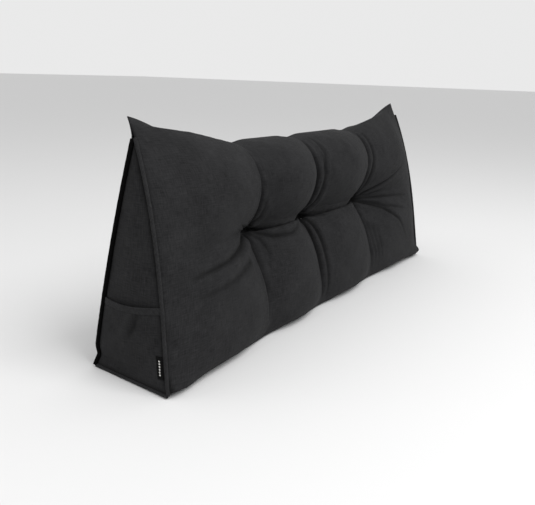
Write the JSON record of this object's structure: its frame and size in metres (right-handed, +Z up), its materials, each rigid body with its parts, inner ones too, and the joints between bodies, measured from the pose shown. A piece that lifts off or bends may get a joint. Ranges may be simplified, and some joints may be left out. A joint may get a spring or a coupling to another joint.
{
  "type": "tufted wedge back cushion",
  "caption": "Long triangular back cushion with a tufted front, piped ends, one side pocket and a zipped flat back.",
  "frame": {"origin": "middle of the base, on the face that rests on the seat or mattress", "axes": "+X along the cushion towards its plain end, +Y towards the wall behind it, +Z up"},
  "size_m": [1.2083, 0.2034, 0.4876],
  "materials": {
    "linen": "matte woven linen-look polyester",
    "pocket_linen": "matte woven linen-look polyester",
    "self_piping": "cord covered in the same cloth",
    "black_piping": "cord covered in black cloth",
    "label": "folded satin-woven tab",
    "button_linen": "button covered in the same cloth",
    "twine": "waxed upholstery twine",
    "washer": "moulded clear plastic",
    "liner": "spun-bonded non-woven",
    "fibre": "loose polyester fibre",
    "foam_board": "expanded polyethylene sheet",
    "zip_tape": "woven tape",
    "zip_coil": "nylon coil",
    "zip_metal": "black-lacquered zinc alloy"
  },
  "bodies": {
    "cushion": {"front_panel": "linen", "back_panel_upper": "linen", "back_panel_lower": "linen", "base_panel": "linen", "end_panel_left": "linen", "end_panel_right": "linen", "side_pocket": "pocket_linen", "pocket_hem": "pocket_linen", "piping_front_left": "self_piping", "piping_front_right": "self_piping", "piping_base_left": "self_piping", "piping_base_right": "self_piping", "piping_back_left": "black_piping", "piping_back_right": "black_piping", "side_label": "label", "tuft_button_left": "button_linen", "tuft_button_centre": "button_linen", "tuft_button_right": "button_linen", "tuft_twine_left": "twine", "tuft_twine_centre": "twine", "tuft_twine_right": "twine", "tuft_washer_left": "washer", "tuft_washer_centre": "washer", "tuft_washer_right": "washer", "inner_liner": "liner", "fibre_fill": "fibre", "back_board": "foam_board", "base_board": "foam_board", "zip_tape_upper": "zip_tape", "zip_tape_lower": "zip_tape", "zip_coil_upper": "zip_coil", "zip_coil_lower": "zip_coil", "zip_stop_closed": "zip_metal", "zip_stop_open": "zip_metal"},
    "slider": {"zip_slider": "zip_metal"},
    "pull": {"zip_pull": "zip_metal"}
  },
  "joints": [
    {"name": "zip_slide", "type": "slide", "parent": "cushion", "child": "slider", "axis": [-1, 0, 0], "range_m": [0, 1.07]},
    {"name": "pull_swing", "type": "hinge", "parent": "slider", "child": "pull", "pos_m": [0.535, 0.09521, 0.04988], "axis": [0, 0.1609, -0.987], "range_deg": [0, 175]}
  ]
}
